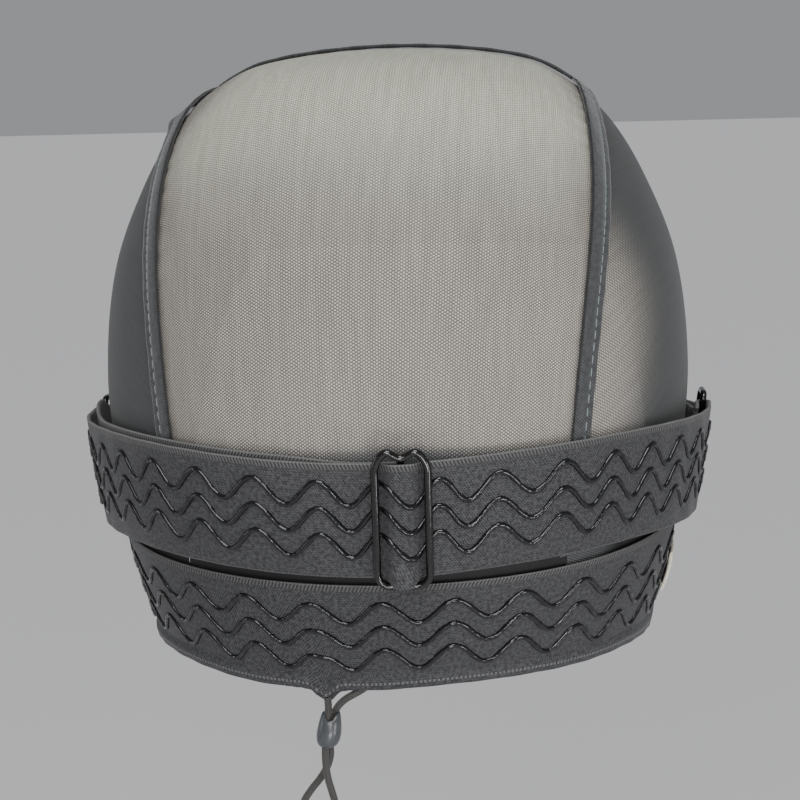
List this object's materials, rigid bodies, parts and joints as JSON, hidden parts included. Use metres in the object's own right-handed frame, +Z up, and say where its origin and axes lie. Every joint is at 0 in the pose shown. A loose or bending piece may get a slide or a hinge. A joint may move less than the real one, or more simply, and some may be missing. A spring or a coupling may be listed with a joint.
{
  "type": "wig cap",
  "caption": "Stretch mesh wig cap with flat seam tapes, an adjustable elastic strap with a wire slide, a nape band with raised grip waves, and a drawstring with a bean stopper.",
  "frame": {"origin": "inside of the crown, where the cap sits on a head", "axes": "+Z up, +Y towards the forehead, -Y towards the nape, +X to the right as seen from the nape side"},
  "size_m": [0.1675, 0.1931, 0.1958],
  "materials": {
    "mesh_cloth": "fine see-through stretch mesh, matt",
    "seam_tape": "flat woven tape, matt",
    "elastic": "knitted elastic with ribbed edges, matt",
    "grip_silicone": "clear gloss bead over black",
    "black_wire": "gloss black coated wire",
    "label_cloth": "blank woven tab, matt",
    "stopper_plastic": "soft grey plastic, satin",
    "cord_cloth": "covered elastic cord, matt"
  },
  "bodies": {
    "root": {"centre_back_panel": "mesh_cloth", "centre_front_panel": "mesh_cloth", "left_side_panel": "mesh_cloth", "right_side_panel": "mesh_cloth", "left_seam_tape": "seam_tape", "right_seam_tape": "seam_tape", "crown_seam_tape": "seam_tape", "front_edge_binding": "seam_tape", "nape_band": "elastic", "adjuster_strap": "elastic", "left_ring_tab": "elastic", "right_ring_tab": "elastic", "strap_wave_1": "grip_silicone", "nape_wave_1": "grip_silicone", "strap_wave_2": "grip_silicone", "nape_wave_2": "grip_silicone", "strap_wave_3": "grip_silicone", "nape_wave_3": "grip_silicone", "slide_buckle": "black_wire", "left_strap_ring": "black_wire", "right_strap_ring": "black_wire", "side_label": "label_cloth", "cord_stopper": "stopper_plastic", "drawstring": "cord_cloth"}
  },
  "joints": []
}
